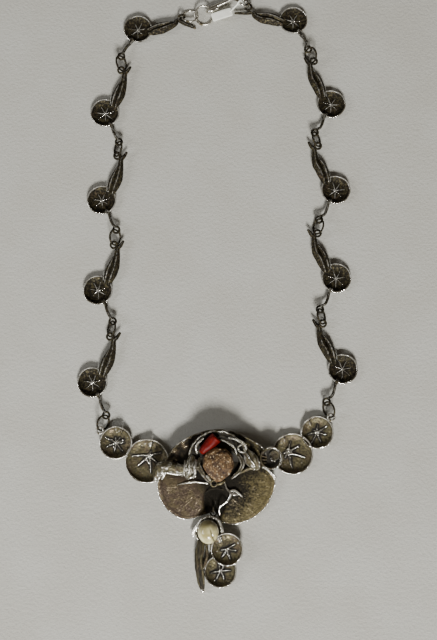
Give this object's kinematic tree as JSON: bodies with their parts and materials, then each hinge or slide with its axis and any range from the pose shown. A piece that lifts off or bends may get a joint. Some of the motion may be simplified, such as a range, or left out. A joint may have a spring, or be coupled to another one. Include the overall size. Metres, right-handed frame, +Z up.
{
  "type": "lily pad necklace",
  "caption": "Oxidised silver necklace of cast lily pad links with a hook clasp, a broad centre leaf with coral and a rough bud stone, and a hanging pearl drop, lying open.",
  "frame": {"origin": "middle of the necklace's outline, on the surface that it lies on", "axes": "+X to the wearer's left as worn, to the right in the picture; +Y from the drop towards the clasp; +Z up from the surface"},
  "size_m": [0.1018, 0.2235, 0.0103],
  "materials": {
    "oxidised_silver": "cast silver, oxidised brown-black in the hollows and worn bright on the rims",
    "silver_wire": "drawn silver wire and plate, tarnished, with bright worn tops",
    "brown_stone": "rough brown bud-shaped stone with fine pits, satin",
    "coral": "polished red coral",
    "pearl": "creased baroque pearl, soft lustre"
  },
  "bodies": {
    "root": {"link_left_1": "oxidised_silver", "link_left_2": "oxidised_silver", "link_left_3": "oxidised_silver", "link_left_4": "oxidised_silver", "link_left_5": "oxidised_silver", "link_right_1": "oxidised_silver", "link_right_2": "oxidised_silver", "link_right_3": "oxidised_silver", "link_right_4": "oxidised_silver", "link_right_5": "oxidised_silver", "ring_left_0": "silver_wire", "ring_left_1": "silver_wire", "ring_left_2": "silver_wire", "ring_left_3": "silver_wire", "ring_left_4": "silver_wire", "ring_left_5": "silver_wire", "ring_right_0": "silver_wire", "ring_right_1": "silver_wire", "ring_right_2": "silver_wire", "ring_right_3": "silver_wire", "ring_right_4": "silver_wire", "ring_right_5": "silver_wire", "ring_catch": "silver_wire", "hook": "silver_wire", "tag": "silver_wire", "pads_left": "oxidised_silver", "pads_right": "oxidised_silver", "centre_leaf": "oxidised_silver", "bud_stone": "brown_stone", "coral": "coral", "pearl": "pearl", "pearl_drop": "oxidised_silver", "hinge_left": "silver_wire", "hinge_right": "silver_wire", "hinge_drop": "silver_wire"}
  },
  "joints": []
}
